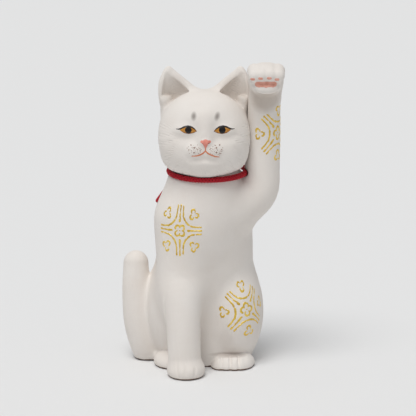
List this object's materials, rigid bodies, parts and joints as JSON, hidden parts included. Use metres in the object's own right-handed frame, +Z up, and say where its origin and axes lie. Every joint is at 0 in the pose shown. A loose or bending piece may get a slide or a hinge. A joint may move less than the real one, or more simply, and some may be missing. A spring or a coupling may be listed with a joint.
{
  "type": "beckoning cat figurine",
  "caption": "Seated hollow clay cat with its left paw raised, painted white with gilt flower medallions, and a red braided cord round its neck.",
  "frame": {"origin": "On the surface that the cat stands on, at the middle of its width, below the front of the trunk.", "axes": "+Z up, the cat faces -Y, and its raised left arm is at +X."},
  "size_m": [0.0925, 0.0855, 0.179],
  "materials": {
    "painted_clay": "matte",
    "bare_clay": "matte",
    "braided_cord": "satin"
  },
  "bodies": {
    "root": {"body_front_shell": "painted_clay", "body_back_shell": "painted_clay", "base_plate": "bare_clay", "head_front_shell": "painted_clay", "head_back_shell": "painted_clay", "right_ear": "painted_clay", "left_ear": "painted_clay", "raised_arm": "painted_clay", "standing_foreleg": "painted_clay", "tail": "painted_clay", "collar_cord": "braided_cord", "collar_knot": "braided_cord", "right_cord_end": "braided_cord", "left_cord_end": "braided_cord"}
  },
  "joints": []
}
